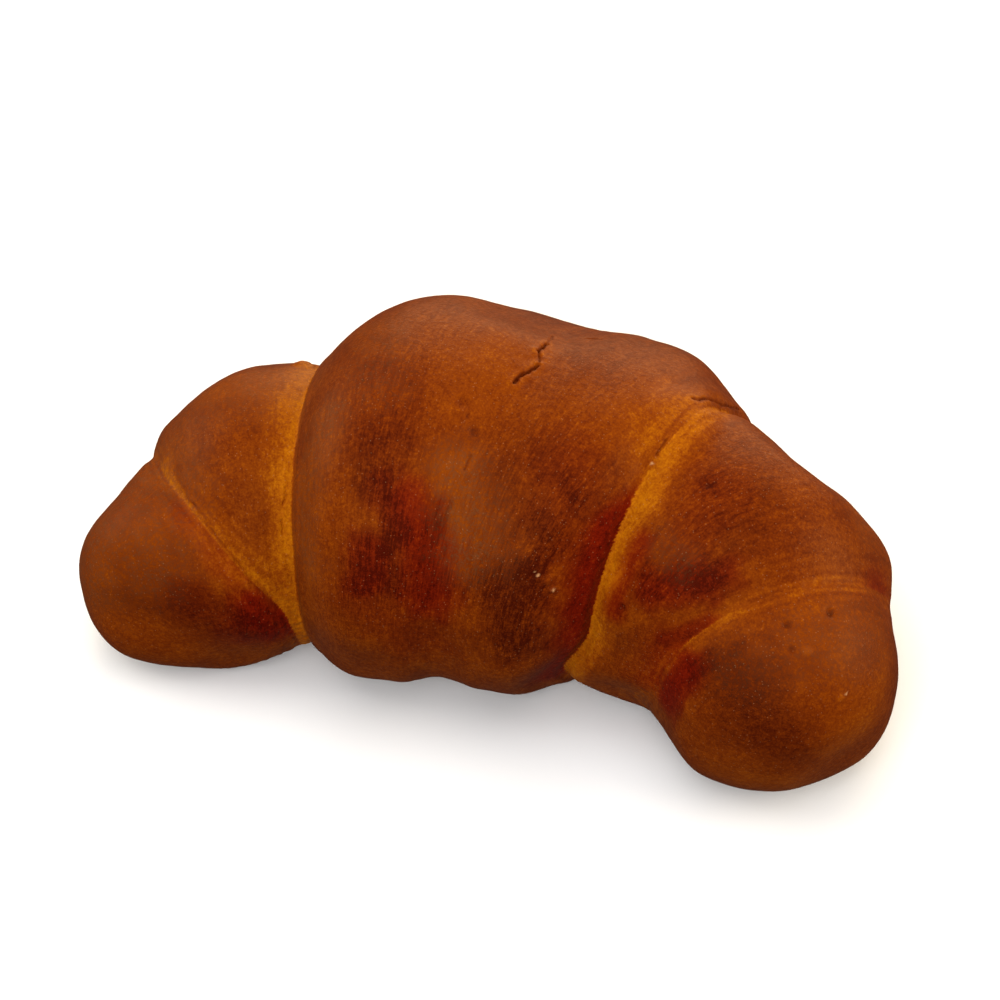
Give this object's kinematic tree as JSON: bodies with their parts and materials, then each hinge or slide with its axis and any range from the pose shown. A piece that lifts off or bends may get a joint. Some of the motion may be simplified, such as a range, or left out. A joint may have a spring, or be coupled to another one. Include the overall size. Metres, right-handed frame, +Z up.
{
  "type": "croissant",
  "caption": "Plump crescent-shaped butter roll with swollen overlapping wraps, soft seams and a flat baked base, for bakery and table scenes.",
  "frame": {"origin": "on the flat base, under the middle of the roll's box", "axes": "+X from the small horn to the large horn, +Y out of the crescent's back, so both horns bend towards -Y, +Z up from the base"},
  "size_m": [0.1492, 0.0769, 0.061],
  "materials": {
    "crust": "soft satin baked crust"
  },
  "bodies": {
    "root": {"croissant": "crust"}
  },
  "joints": []
}
